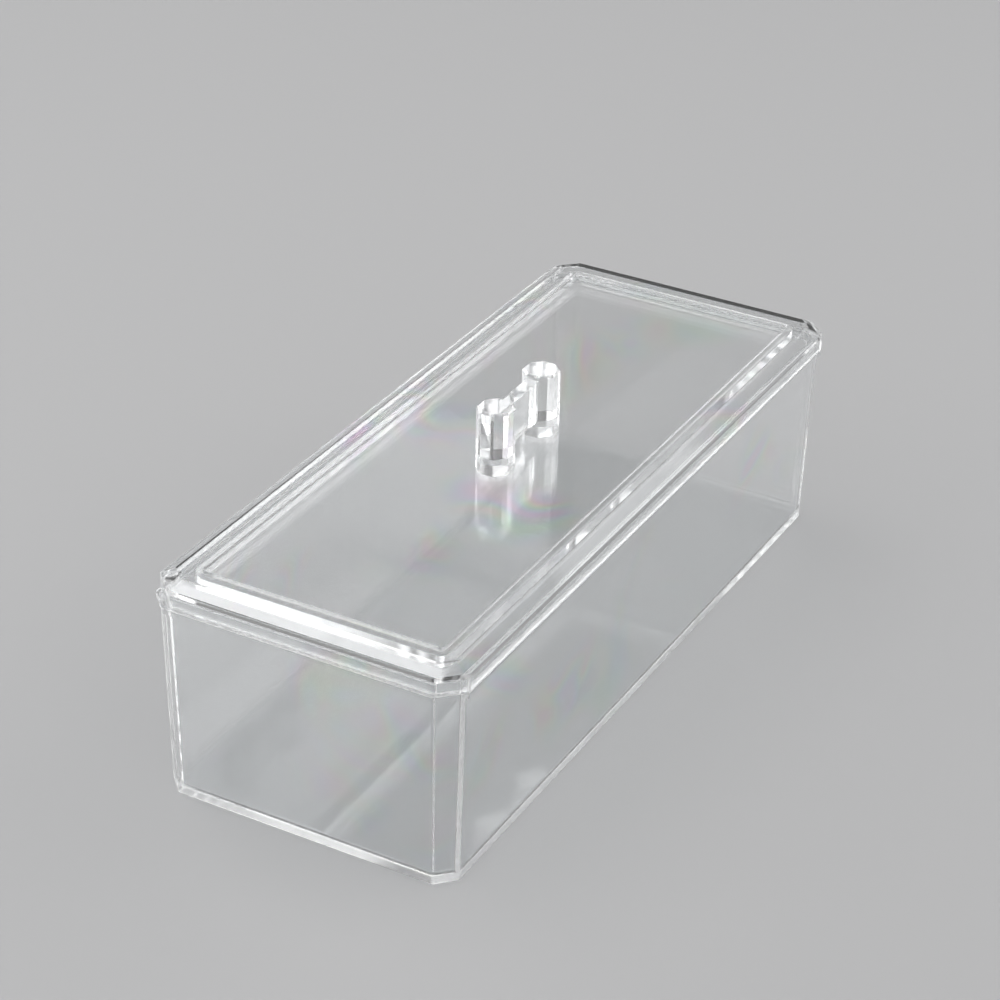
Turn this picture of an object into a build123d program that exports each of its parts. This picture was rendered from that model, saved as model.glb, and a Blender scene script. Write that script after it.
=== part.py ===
"""Long clear box with cut corners, a lift-off lid and a two-post handle on the lid.

Millimetres. Origin at the centre of the box's underside, +Z up, +Y along the box, +X to its right.
"""
from build123d import *
import os
from math import cos, radians, sqrt, tan

# Box
box_width = 85.0            # outside, at the underside
box_length = 215.4          # outside, at the underside
box_corner = 5.0            # leg of the 45 degree corner cut, at the underside
box_height = 57.1           # underside to the ledge that the lid sits on
draft = 1.3                 # degrees that every side leans out
wall = 2.5
floor = 2.5
foot_radius = 1.2           # round along the outside of the underside
floor_radius = 1.6          # round along the inside of the floor
flange_out = 0.9            # how far the rim stands out from the sides
flange_height = 1.6
flange_round = 0.4          # round along both edges of the rim
upstand_height = 2.3        # low wall inside the lid's skirt
upstand_thick = 0.8

# Lid
lid_setback = 0.6           # lid's outline, in from the rim's outline
skirt_height = 5.1
skirt_thick = 1.2
bevel_width = 3.7           # shallow bevel round the top
bevel_height = 1.8
lid_thick = 2.0             # ring, well wall and panel
ring_width = 5.9            # flat ring, from the bevel to the well
well_depth = 3.2            # how far the panel lies under the ring
well_corner = 1.2           # radius of the well's corners
well_foot = 0.8             # round at the foot of the well
lid_rest_x = 0.45           # where the lid lies within its play, pushed to the right
lid_rest_y = 0.6            # and to the back

# Handle and the two bosses it stands on
post_spacing = 25.0
post_flats = 9.7            # octagon, across its flats
post_height = 13.5
post_bevel = 0.6
boss_height = 5.0
web_thick = 3.6
web_drop = 1.3              # web's top, under the tops of the posts
peg_radius = 2.5
peg_length = 3.6
peg_clearance = 0.1         # round the peg
peg_bottom = 0.4            # free depth under the peg

corner_share = 2 - sqrt(2)  # what a corner's leg grows by, for each unit the sides move out
rim_growth = tan(radians(draft)) * box_height
ring_top = box_height + skirt_height + bevel_height
panel_top = ring_top - well_depth
joint_plane = panel_top + boss_height
lid_half_width = box_width / 2 + rim_growth + flange_out - lid_setback
lid_half_length = box_length / 2 + rim_growth + flange_out - lid_setback
lid_corner = box_corner + (rim_growth + flange_out - lid_setback) * corner_share
well_half_width = lid_half_width - bevel_width - ring_width
well_half_length = lid_half_length - bevel_width - ring_width


def cut_corner_face(half_width, half_length, leg, z):
    """Rectangle with its four corners cut at 45 degrees, as a face at height z."""
    x, y = half_width, half_length
    points = [(x, y - leg), (x - leg, y), (leg - x, y), (-x, y - leg),
              (-x, leg - y), (leg - x, -y), (x - leg, -y), (x, leg - y)]
    return Pos(0, 0, z) * make_face(Polyline(*points, close=True))


def box_face(inset, z, lean_z):
    """Outline of the box at the height lean_z, moved in by inset and laid at height z."""
    out = tan(radians(draft)) * lean_z - inset
    return cut_corner_face(box_width / 2 + out, box_length / 2 + out, box_corner + out * corner_share, z)


def lid_face(inset, z):
    """Outline of the lid, moved in by inset, at height z."""
    leg = lid_corner - inset * corner_share
    return cut_corner_face(lid_half_width - inset, lid_half_length - inset, leg, z)


def well_face(outset, z):
    """Outline of the well in the lid, moved out by outset, at height z."""
    width, length = 2 * (well_half_width + outset), 2 * (well_half_length + outset)
    return Pos(0, 0, z) * RectangleRounded(width, length, well_corner + outset)


def edges_at(shape, z):
    """Edges of a shape that lie flat at one height."""
    return shape.edges().filter_by_position(Axis.Z, z - 0.001, z + 0.001)


def octagon(height, z):
    """Octagonal bar with its flats to the front, back and sides."""
    section = RegularPolygon(post_flats / 2 / cos(radians(22.5)), 8, rotation=22.5)
    return Pos(0, 0, z) * extrude(section, height)


def at_posts(shape):
    """A shape repeated at both posts."""
    return [Pos(0, side * post_spacing / 2, 0) * shape for side in (-1, 1)]


def make_box():
    body = loft([box_face(0, 0, 0), box_face(0, box_height, box_height)], ruled=True)
    body = fillet(edges_at(body, 0), foot_radius)
    flange = extrude(box_face(-flange_out, box_height - flange_height, box_height), flange_height)
    flange_edges = edges_at(flange, box_height) + edges_at(flange, box_height - flange_height)
    flange = fillet(flange_edges, flange_round)
    upstand = extrude(box_face(wall - upstand_thick, box_height, box_height), upstand_height)
    upstand = fillet(edges_at(upstand, box_height + upstand_height), upstand_thick / 3)
    hollow = loft([box_face(wall, floor, floor), box_face(wall, box_height, box_height)], ruled=True)
    hollow = fillet(edges_at(hollow, floor), floor_radius)
    mouth = extrude(box_face(wall, box_height, box_height), upstand_height)
    return body + flange + upstand - hollow - mouth


def make_lid():
    skirt_top = box_height + skirt_height
    outer = extrude(lid_face(0, box_height), skirt_height)
    outer += loft([lid_face(0, skirt_top), lid_face(bevel_width, ring_top)], ruled=True)
    inner_top = ring_top - lid_thick
    inner_skirt = extrude(lid_face(skirt_thick, box_height), inner_top - bevel_height - box_height)
    inner_bevel = loft([lid_face(skirt_thick, inner_top - bevel_height),
                        lid_face(skirt_thick + bevel_width, inner_top)], ruled=True)
    tub = extrude(well_face(lid_thick, panel_top - lid_thick), ring_top - panel_top + lid_thick)
    well = extrude(well_face(0, panel_top), well_depth)
    well = fillet(edges_at(well, panel_top), well_foot)
    lid = outer - (inner_skirt + inner_bevel) + tub - well
    boss = octagon(boss_height, panel_top)
    socket = Pos(0, 0, joint_plane - (peg_length + peg_bottom) / 2) * Cylinder(
        peg_radius + peg_clearance, peg_length + peg_bottom)
    for part in at_posts(boss - socket):
        lid += part
    return lid


def make_handle():
    post = octagon(post_height, joint_plane)
    post = chamfer(edges_at(post, joint_plane + post_height), post_bevel)
    peg = Pos(0, 0, joint_plane - peg_length / 2) * Cylinder(peg_radius, peg_length)
    web_height = post_height - web_drop
    web = Pos(0, 0, joint_plane + web_height / 2) * Box(web_thick, post_spacing, web_height)
    handle = web
    for part in at_posts(post + peg):
        handle += part
    return handle


def lid_place(shape):
    """Moves a part of the lid to where the lid lies on the box."""
    return Pos(lid_rest_x, lid_rest_y, 0) * shape


parts = {
    "box_base": make_box(),
    "lid_shell": lid_place(make_lid()),
    "lid_handle": lid_place(make_handle()),
}

os.makedirs("parts", exist_ok=True)
for name, shape in parts.items():
    export_step(shape, f"parts/{name}.step")
    print(name, "volume", round(shape.volume / 1000, 2), "cubic cm")
play = lid_half_width - skirt_thick - (box_width / 2 + rim_growth - wall + upstand_thick)
print("lid's play on the upstand, each side:", round(play, 2))
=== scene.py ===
"""Looks of the clear brush box: its three clear mouldings, the floor, the lamps and the camera.

Shapes are written in millimetres and scaled to metres once, when a piece is finished.
"""
from math import cos, pi, radians, sin, sqrt, tan

import bmesh
import bpy
from mathutils import Matrix, Vector


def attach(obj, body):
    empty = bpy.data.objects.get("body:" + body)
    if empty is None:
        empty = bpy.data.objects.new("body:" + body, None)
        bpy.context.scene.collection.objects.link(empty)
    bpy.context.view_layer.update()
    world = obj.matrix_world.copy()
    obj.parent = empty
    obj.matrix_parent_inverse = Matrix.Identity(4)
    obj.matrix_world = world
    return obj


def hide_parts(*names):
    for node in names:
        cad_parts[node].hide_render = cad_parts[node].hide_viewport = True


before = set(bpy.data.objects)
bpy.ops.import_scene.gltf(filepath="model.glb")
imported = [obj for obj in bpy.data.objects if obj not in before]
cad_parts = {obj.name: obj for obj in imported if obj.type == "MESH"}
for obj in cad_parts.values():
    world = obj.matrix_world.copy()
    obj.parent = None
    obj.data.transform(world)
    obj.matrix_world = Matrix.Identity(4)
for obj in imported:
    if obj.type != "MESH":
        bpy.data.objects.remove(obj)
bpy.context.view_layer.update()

METRES = 0.001                      # one millimetre

# Box
BOX_WIDTH, BOX_LENGTH = 85.0, 215.4     # outside, at the underside
BOX_CORNER = 5.0                    # leg of the 45 degree corner cut, at the underside
LEDGE = 57.1                        # underside to the ledge that the lid sits on
DRAFT = 1.3                         # degrees that every side leans out
WALL, FLOOR = 2.5, 2.5
FOOT_RADIUS, FLOOR_RADIUS = 1.2, 1.6    # outside along the underside, inside along the floor
FLANGE_OUT, FLANGE_HEIGHT = 0.9, 1.6
UPSTAND_HEIGHT, UPSTAND_THICK = 2.3, 0.8

# Lid
LID_SETBACK = 0.6                   # the lid's outline, in from the rim's outline
AIR_GAP = 0.03                      # between two mouldings that rest on each other
SKIRT_HEIGHT, SKIRT_THICK = 5.1, 1.2
BEVEL_WIDTH, BEVEL_HEIGHT = 3.7, 1.8
LID_THICK = 2.0
RING_WIDTH, WELL_DEPTH = 5.9, 3.2
WELL_CORNER, WELL_FOOT = 1.2, 0.8   # radius of the well's corners, and of its foot
LID_REST = Vector((0.45, 0.6, 0.0))     # where the lid lies within its play

# Handle
POST_SPACING, POST_HEIGHT = 25.0, 13.5
POST_FLATS, POST_BEVEL = 9.7, 0.6   # octagon across its flats, and the bevel round its top
BOSS_HEIGHT = 5.0
WEB_THICK, WEB_DROP = 3.6, 1.3

# Rounds and joins
BOX_SEGMENTS, WELL_SEGMENTS, EDGE_SEGMENTS = 5, 3, 2
CORNER_FILL = 0.99                  # share of a corner's cut that its round takes up
SHELL_EDGE, HANDLE_EDGE = 0.25, 0.15    # soft round on every edge of a moulding
SHARP = radians(25)                 # edges that turn by more than this get that round
SAME = 0.01                         # two measures nearer than this are the same
CUT_JOIN, MESH_JOIN, MIRROR_JOIN = 0.0001, 0.0005, 0.001    # corners nearer than this join

# Plastic
PLASTIC_IOR = 1.55
POLISH = 0.05                       # roughness of untouched plastic
SHELL_SMUDGES, HANDLE_SMUDGES = 0.05, 0.08      # roughness that hands add
TINT = (0.985, 0.992, 0.995, 1)
LAMP_PASS = (0.93, 0.935, 0.937, 1)     # what a lamp's light keeps when it goes through
WAVES = 0.00001                     # height of the faces' waves, in metres
RIPPLE_SHARE = 0.12                 # of the fine waves, against the broad ones
STRESS_TINT = 0.17                  # saturation of the stress tints
STRESS_BANDS = 2.5                  # how often they run through all hues

# Noises in the plastic: scale, detail and distortion
FLOW, RIPPLE = (38.0, 1.0), (150.0, 2.0)
TOUCH, GRAIN = (30.0, 3.0, 0.6), (900.0, 3.0)
STRESS_HUES, STRESS_PLACES = (45.0, 0.0, 1.5), (22.0, 1.0)

# Where those noises start and end to count
TOUCH_RANGE, GRAIN_RANGE, STRESS_RANGE = (0.52, 0.72), (0.35, 0.75), (0.56, 0.74)

# Floor
FLOOR_COLOUR, FLOOR_ROUGHNESS = (0.50, 0.50, 0.505, 1), 0.55
FLOOR_LEVEL = -0.1                  # just under the box
FLOOR_REACH = 6.0                   # metres from its middle to each side

# Studio: strengths, then the directions of the round soft lamps and of the dim corner
WHITE = (1, 1, 1, 1)
SKY, SOFT, SKY_DIM = 0.5, 2.4, 0.1
SOFT_WAY, SOFT_WAY_2 = (0.41, 0.76, 0.5), (0.76, 0.41, 0.5)
SOFT_REACH = radians(13)
DIM_WAY, DIM_REACH = (-0.41, 0.76, 0.5), radians(45)

# Lamps: name, place and size in metres, and power in watts
LAMPS = (
    ("overhead", (-0.65, 0.1, 1.4), (0.8, 0.8), 7.0),
    ("front_left", (-0.85, -0.85, 0.8), (0.9, 0.9), 2.0),
    ("back_right", (0.62, 1.14, 0.81), (0.7, 0.6), 2.0),
    ("right", (1.14, 0.62, 0.81), (0.7, 0.6), 3.0),
    ("left", (-1.2, 0.3, 0.7), (0.9, 0.5), 0.5),
)
LAMP_AIM = (0, 0, 0.06)
BOUNCES = 96                        # light turns back many times inside a clear wall

# Camera, fitted to the straight edges in the photograph
AZIMUTH, ELEVATION, ROLL = radians(28.388), radians(30.066), radians(1.331)
AIM_HEIGHT = 30
DISTANCE, SIDEWAYS, UPWARDS = 770.53, -3.435, 12.798
LENS, SENSOR = 101.16, 36
CLIP_START, CLIP_END = 0.05, 50     # metres

# Measures that follow from the ones above
LEAN = tan(radians(DRAFT))
CORNER_SHARE = 2 - sqrt(2)          # what a corner's leg grows by, as the sides move out by 1
RIM_GROWTH = LEAN * LEDGE
RING_TOP = LEDGE + SKIRT_HEIGHT + BEVEL_HEIGHT
PANEL_TOP = RING_TOP - WELL_DEPTH
JOINT_PLANE = PANEL_TOP + BOSS_HEIGHT
POST_TOP = JOINT_PLANE + POST_HEIGHT
LID_GROWTH = RIM_GROWTH + FLANGE_OUT - LID_SETBACK
WELL_HALF_WIDTH = BOX_WIDTH / 2 + LID_GROWTH - BEVEL_WIDTH - RING_WIDTH
WELL_HALF_LENGTH = BOX_LENGTH / 2 + LID_GROWTH - BEVEL_WIDTH - RING_WIDTH


def near(one, other):
    return abs(one - other) < SAME


def middle(face):
    return face.calc_center_median()


def cut_corners(half_width, half_length, leg):
    """Corner points of a rectangle whose corners are cut at 45 degrees."""
    x, y = half_width, half_length
    return [(x, leg - y), (x, y - leg), (x - leg, y), (leg - x, y),
            (-x, y - leg), (-x, leg - y), (leg - x, -y), (x - leg, -y)]


def box_outline(grow):
    """The box's outline at its underside, moved out by grow."""
    leg = BOX_CORNER + grow * CORNER_SHARE
    return cut_corners(BOX_WIDTH / 2 + grow, BOX_LENGTH / 2 + grow, leg)


def well_outline(grow):
    """The well's outline, moved out by grow."""
    leg = (WELL_CORNER + grow) * CORNER_SHARE
    return cut_corners(WELL_HALF_WIDTH + grow, WELL_HALF_LENGTH + grow, leg)


def octagon(centre_y):
    """Corner points of a post, with its flats to the front, back and sides."""
    radius = POST_FLATS / 2 / cos(pi / 8)
    angles = [(i + 0.5) * pi / 4 for i in range(8)]
    return [(radius * cos(angle), centre_y + radius * sin(angle)) for angle in angles]


def edges_round(ring):
    """Pairs of neighbouring corners of a closed ring."""
    return list(zip(ring, ring[1:] + ring[:1]))


def start_ring(bm, points, z):
    """Lays a closed ring of corners at height z."""
    ring = [bm.verts.new((x, y, z)) for x, y in points]
    for pair in edges_round(ring):
        bm.edges.new(pair)
    return ring


def next_ring(bm, ring, points, z):
    """Draws a wall from a ring of corners to other points at height z, and returns that ring."""
    edges = [bm.edges.get(pair) for pair in edges_round(ring)]
    drawn = bmesh.ops.extrude_edge_only(bm, edges=edges)
    fresh = {v for v in drawn["geom"] if isinstance(v, bmesh.types.BMVert)}
    raised = [next(e.other_vert(corner) for e in corner.link_edges if e.other_vert(corner) in fresh)
              for corner in ring]
    for corner, (x, y) in zip(raised, points):
        corner.co = (x, y, z)
    return raised


def walls(bm, sections):
    """Walls through a list of (points, height), closed at both ends."""
    first = ring = start_ring(bm, *sections[0])
    for points, z in sections[1:]:
        ring = next_ring(bm, ring, points, z)
    for end in (first, ring):
        bm.faces.new(end)


def edges_where(bm, test):
    """Edges whose two ends both pass a test."""
    return [e for e in bm.edges if all(test(v.co) for v in e.verts)]


def cut_faces(bm, test, across, distances):
    """Cuts the faces that pass a test, by planes across a direction, at distances along it."""
    for distance in distances:
        faces = [f for f in bm.faces if test(f)]
        edges = {e for f in faces for e in f.edges}
        corners = {v for f in faces for v in f.verts}
        bmesh.ops.bisect_plane(bm, geom=[*faces, *edges, *corners], dist=CUT_JOIN,
                               plane_co=Vector(across) * distance, plane_no=across)


def round_edges(bm, edges, radius, segments):
    bmesh.ops.bevel(bm, geom=edges, offset=radius, offset_type="OFFSET", segments=segments,
                    profile=0.5, affect="EDGES", material=-1, clamp_overlap=True)


def finish_piece(bm, name, body, node, material, edge_round):
    """Makes the mesh an object in metres that rides on a body and stands for a node."""
    bmesh.ops.remove_doubles(bm, verts=bm.verts, dist=MESH_JOIN)
    bmesh.ops.recalc_face_normals(bm, faces=bm.faces)
    bmesh.ops.scale(bm, verts=bm.verts, vec=(METRES,) * 3)
    for face in bm.faces:
        face.smooth = True
    mesh = bpy.data.meshes.new(name)
    bm.to_mesh(mesh)
    bm.free()
    piece = bpy.data.objects.new(name, mesh)
    bpy.context.scene.collection.objects.link(piece)
    mesh.materials.append(material)
    soften = piece.modifiers.new("edge_round", "BEVEL")
    soften.width, soften.segments = edge_round * METRES, EDGE_SEGMENTS
    soften.limit_method, soften.angle_limit = "ANGLE", SHARP
    level = piece.modifiers.new("flat_faces", "WEIGHTED_NORMAL")
    level.mode, level.weight, level.keep_sharp = "FACE_AREA", 100, False
    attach(piece, body)
    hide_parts(node)


def box_piece(material):
    """Walls up the outside, over the rim and the upstand, and down the inside to the floor."""
    bm = bmesh.new()
    flange = RIM_GROWTH + FLANGE_OUT
    under = LEDGE - FLANGE_HEIGHT
    upstand_top = LEDGE + UPSTAND_HEIGHT
    inside = RIM_GROWTH - WALL
    walls(bm, [(box_outline(grow), z) for grow, z in (
        (0, 0), (LEAN * under, under), (flange, under), (flange, LEDGE),
        (inside + UPSTAND_THICK, LEDGE), (inside + UPSTAND_THICK, upstand_top),
        (inside, upstand_top), (inside, LEDGE), (LEAN * FLOOR - WALL, FLOOR))])
    round_edges(bm, edges_where(bm, lambda p: near(p.z, 0)), FOOT_RADIUS, BOX_SEGMENTS)
    round_edges(bm, edges_where(bm, lambda p: near(p.z, FLOOR)), FLOOR_RADIUS, BOX_SEGMENTS)
    finish_piece(bm, "clear_box", "box", "box_base", material, SHELL_EDGE)


def round_well_corners(bm, grow):
    """Rounds the upright edges of the well, or of the tub round it, into smooth corners."""
    x, y = WELL_HALF_WIDTH + grow, WELL_HALF_LENGTH + grow
    upright = [e for e in edges_where(bm, lambda p: near(abs(p.x), x) or near(abs(p.y), y))
               if not near(e.verts[0].co.z, e.verts[1].co.z)
               and all(abs(v.co.x) < x + SAME for v in e.verts)]
    round_edges(bm, upright, (WELL_CORNER + grow) * tan(pi / 8) * CORNER_FILL, WELL_SEGMENTS)


def add_bosses(bm):
    """Cuts a square out of the panel round each boss, and draws the boss up from it."""
    def on_panel(face):
        return near(middle(face).z, PANEL_TOP)

    sides = (-1, 1)
    reaches = (-POST_FLATS, POST_FLATS)
    cut_faces(bm, on_panel, (1, 0, 0), reaches)
    cut_faces(bm, on_panel, (0, 1, 0),
              [side * POST_SPACING / 2 + reach for side in sides for reach in reaches])
    for side in sides:
        centre = Vector((0, side * POST_SPACING / 2, PANEL_TOP))
        pad = min(bm.faces, key=lambda f: (middle(f) - centre).length)
        points = octagon(centre.y)
        ring = start_ring(bm, points, PANEL_TOP)
        rims = list(pad.edges) + [bm.edges.get(pair) for pair in edges_round(ring)]
        bm.faces.new(next_ring(bm, ring, points, JOINT_PLANE - AIR_GAP))
        bmesh.ops.delete(bm, geom=[pad], context="FACES_ONLY")
        bmesh.ops.triangle_fill(bm, edges=rims, use_beauty=True)


def lid_piece(material):
    """Walls up the well, over the ring and the bevel, round the skirt and back under the panel."""
    bm = bmesh.new()
    foot = LEDGE + AIR_GAP
    skirt_top = LEDGE + SKIRT_HEIGHT
    inner_top = RING_TOP - LID_THICK
    tub_foot = PANEL_TOP - LID_THICK
    walls(bm, [(well_outline(0), PANEL_TOP), (well_outline(0), RING_TOP)]
          + [(box_outline(LID_GROWTH - inset), z) for inset, z in (
              (BEVEL_WIDTH, RING_TOP), (0, skirt_top), (0, foot), (SKIRT_THICK, foot),
              (SKIRT_THICK, inner_top - BEVEL_HEIGHT), (SKIRT_THICK + BEVEL_WIDTH, inner_top))]
          + [(well_outline(LID_THICK), inner_top), (well_outline(LID_THICK), tub_foot)])
    round_well_corners(bm, 0)
    round_well_corners(bm, LID_THICK)
    panel_rim = edges_where(
        bm, lambda p: near(p.z, PANEL_TOP) and abs(p.x) < WELL_HALF_WIDTH + SAME)
    round_edges(bm, panel_rim, WELL_FOOT, WELL_SEGMENTS)
    add_bosses(bm)
    bmesh.ops.translate(bm, verts=bm.verts, vec=LID_REST)
    finish_piece(bm, "clear_lid", "lid", "lid_shell", material, SHELL_EDGE)


def handle_piece(material):
    """One post and half of the web are made, then mirrored."""
    bm = bmesh.new()
    web_top = POST_TOP - WEB_DROP
    centre = -POST_SPACING / 2
    walls(bm, [(octagon(centre), z) for z in (JOINT_PLANE, web_top, POST_TOP)])
    round_edges(bm, edges_where(bm, lambda p: near(p.z, POST_TOP)), POST_BEVEL, 1)
    flat_y = centre + POST_FLATS / 2
    cut_faces(bm, lambda f: near(middle(f).y, flat_y), (1, 0, 0), (-WEB_THICK / 2, WEB_THICK / 2))
    joined = [f for f in bm.faces if near(middle(f).y, flat_y) and near(middle(f).x, 0)
              and middle(f).z < web_top]
    rim = [e for f in joined for e in f.edges]
    bmesh.ops.delete(bm, geom=joined, context="FACES_ONLY")
    drawn = bmesh.ops.extrude_edge_only(bm, edges=rim)
    verts = [v for v in drawn["geom"] if isinstance(v, bmesh.types.BMVert)]
    bmesh.ops.translate(bm, verts=verts, vec=(0, -flat_y, 0))
    everything = bm.verts[:] + bm.edges[:] + bm.faces[:]
    bmesh.ops.mirror(bm, geom=everything, merge_dist=MIRROR_JOIN, axis="Y")
    bmesh.ops.translate(bm, verts=bm.verts, vec=LID_REST)
    finish_piece(bm, "clear_handle", "lid", "lid_handle", material, HANDLE_EDGE)


class Value:
    """A socket with a number, on which arithmetic adds Math nodes."""

    def __init__(self, tree, socket):
        self.tree, self.socket = tree, socket

    def maths(self, operation, *others):
        return self.tree.node("ShaderNodeMath", {"operation": operation}, self, *others)

    def __add__(self, other):
        return self.maths("ADD", other)

    def __mul__(self, other):
        return self.maths("MULTIPLY", other)

    __radd__, __rmul__ = __add__, __mul__


class Tree:
    """The nodes of one material or world."""

    def __init__(self, owner):
        owner.use_nodes = True
        self.nodes, self.links = owner.node_tree.nodes, owner.node_tree.links
        self.nodes.clear()

    def node(self, kind, settings=(), *inputs, numbered=(), output=0, **named):
        """Adds a node and returns one of its outputs.

        Its settings come first, then the values or links of its sockets: in order from the
        first, by their number, or by their name.
        """
        node = self.nodes.new(kind)
        for key, value in dict(settings).items():
            setattr(node, key, value)
        sockets = [*enumerate(inputs), *dict(numbered).items()]
        sockets += [(key.replace("_", " "), value) for key, value in named.items()]
        for key, value in sockets:
            if isinstance(value, Value):
                self.links.new(value.socket, node.inputs[key])
            else:
                node.inputs[key].default_value = value
        return Value(self, node.outputs[output]) if node.outputs else None

    def noise(self, place, scale, detail, distortion=0.0):
        return self.node("ShaderNodeTexNoise", {"noise_dimensions": "3D"}, Vector=place,
                         Scale=scale, Detail=detail, Distortion=distortion)

    def between(self, value, low, high, to_low=0.0, to_high=1.0):
        """Maps a value smoothly from one range to another, held inside it."""
        return self.node("ShaderNodeMapRange", {"interpolation_type": "SMOOTHSTEP"},
                         value, low, high, to_low, to_high)


def clear_plastic(name, drift, smudges):
    """Clear moulded plastic: slightly wavy faces, haze where hands touch it, faint stress tints.

    Light from the lamps and the floor goes through it unbent, so it leaves no bright spots.
    """
    material = bpy.data.materials.new(name)
    tree = Tree(material)
    here = tree.node("ShaderNodeTexCoord", output="Object")
    here = tree.node("ShaderNodeVectorMath", {"operation": "ADD"}, here, drift)
    wave = tree.noise(here, *FLOW) + tree.noise(here, *RIPPLE) * RIPPLE_SHARE
    normal = tree.node("ShaderNodeBump", Strength=1.0, Distance=WAVES, Height=wave)
    touched = tree.between(tree.noise(here, *TOUCH), *TOUCH_RANGE)
    grain = tree.between(tree.noise(here, *GRAIN), *GRAIN_RANGE)
    roughness = POLISH + smudges * touched * grain
    hue = (tree.noise(here, *STRESS_HUES) * STRESS_BANDS).maths("FRACT")
    rainbow = tree.node("ShaderNodeCombineColor", {"mode": "HSV"}, hue, STRESS_TINT, 1.0)
    stressed = tree.between(tree.noise(here, *STRESS_PLACES), *STRESS_RANGE)
    colour = tree.node("ShaderNodeMix", {"data_type": "RGBA"}, stressed,
                       numbered={6: TINT, 7: rainbow}, output=2)
    plastic = tree.node("ShaderNodeBsdfPrincipled", (), colour, IOR=PLASTIC_IOR,
                        Roughness=roughness, Normal=normal, Transmission_Weight=1.0)
    clear = tree.node("ShaderNodeBsdfTransparent", (), LAMP_PASS)
    for ray in ("Is Shadow Ray", "Is Diffuse Ray"):
        unbent = tree.node("ShaderNodeLightPath", output=ray)
        plastic = tree.node("ShaderNodeMixShader", (), unbent, plastic, clear)
    tree.node("ShaderNodeOutputMaterial", (), plastic)
    return material


def add_camera():
    """Stands where the photograph was taken from, and turns by its small roll."""
    back = Vector((sin(AZIMUTH) * cos(ELEVATION), -cos(AZIMUTH) * cos(ELEVATION), sin(ELEVATION)))
    right = Vector((cos(AZIMUTH), sin(AZIMUTH), 0))
    up = back.cross(right)
    rolled_right = right * cos(ROLL) + up * sin(ROLL)
    rolled_up = up * cos(ROLL) - right * sin(ROLL)
    centre = Vector((0, 0, AIM_HEIGHT))
    place = centre + back * DISTANCE + rolled_right * SIDEWAYS + rolled_up * UPWARDS
    lens = bpy.data.cameras.new("camera")
    lens.lens, lens.sensor_width = LENS, SENSOR
    lens.clip_start, lens.clip_end = CLIP_START, CLIP_END
    camera = bpy.data.objects.new("camera", lens)
    turn = Matrix((rolled_right, rolled_up, back)).transposed()
    camera.matrix_world = Matrix.Translation(place * METRES) @ turn.to_4x4()
    bpy.context.scene.collection.objects.link(camera)
    bpy.context.scene.camera = camera


def area_lamp(name, place, size, power):
    data = bpy.data.lights.new(name, "AREA")
    data.shape, data.size, data.size_y, data.energy = "RECTANGLE", size[0], size[1], power
    lamp = bpy.data.objects.new(name, data)
    turn = (Vector(LAMP_AIM) - Vector(place)).to_track_quat("-Z", "Y").to_matrix().to_4x4()
    lamp.matrix_world = Matrix.Translation(place) @ turn
    bpy.context.scene.collection.objects.link(lamp)


def add_floor():
    bm = bmesh.new()
    bmesh.ops.create_grid(bm, x_segments=1, y_segments=1, size=FLOOR_REACH)
    bmesh.ops.translate(bm, verts=bm.verts, vec=(0, 0, FLOOR_LEVEL * METRES))
    mesh = bpy.data.meshes.new("floor")
    bm.to_mesh(mesh)
    bm.free()
    floor = bpy.data.objects.new("floor", mesh)
    bpy.context.scene.collection.objects.link(floor)
    material = bpy.data.materials.new("floor_paint")
    tree = Tree(material)
    paint = tree.node("ShaderNodeBsdfPrincipled", (), FLOOR_COLOUR, Roughness=FLOOR_ROUGHNESS)
    tree.node("ShaderNodeOutputMaterial", (), paint)
    mesh.materials.append(material)


def add_world():
    """A plain studio with round soft lamps on all sides, and a corner that is dim.

    The lid's panel mirrors the dim corner, so it stays clear.
    """
    world = bpy.data.worlds.new("studio")
    tree = Tree(world)
    way = tree.node("ShaderNodeTexCoord", output="Generated")

    def towards(direction, aim):
        return tree.node("ShaderNodeVectorMath", {"operation": "DOT_PRODUCT"}, direction, aim,
                         output=1)

    folded = tree.node("ShaderNodeVectorMath", {"operation": "ABSOLUTE"}, way)
    nearest = towards(folded, SOFT_WAY).maths("MAXIMUM", towards(folded, SOFT_WAY_2))
    light = tree.between(nearest, cos(SOFT_REACH), cos(SOFT_REACH / 2), SKY, SOFT)
    light = light * tree.between(towards(way, DIM_WAY), cos(DIM_REACH), cos(DIM_REACH / 2),
                                 1.0, SKY_DIM)
    studio = tree.node("ShaderNodeBackground", (), WHITE, light)
    tree.node("ShaderNodeOutputWorld", (), studio)
    bpy.context.scene.world = world


box_piece(clear_plastic("box_plastic", (0.0, 0.0, 0.0), SHELL_SMUDGES))
lid_piece(clear_plastic("lid_plastic", (0.3, 0.1, 0.7), SHELL_SMUDGES))
handle_piece(clear_plastic("handle_plastic", (0.8, 0.5, 0.2), HANDLE_SMUDGES))

add_camera()
add_floor()
for lamp in LAMPS:
    area_lamp(*lamp)
add_world()
bpy.context.scene.view_settings.view_transform = "Standard"
for limit in ("max_bounces", "transmission_bounces", "glossy_bounces"):
    setattr(bpy.context.scene.cycles, limit, BOUNCES)
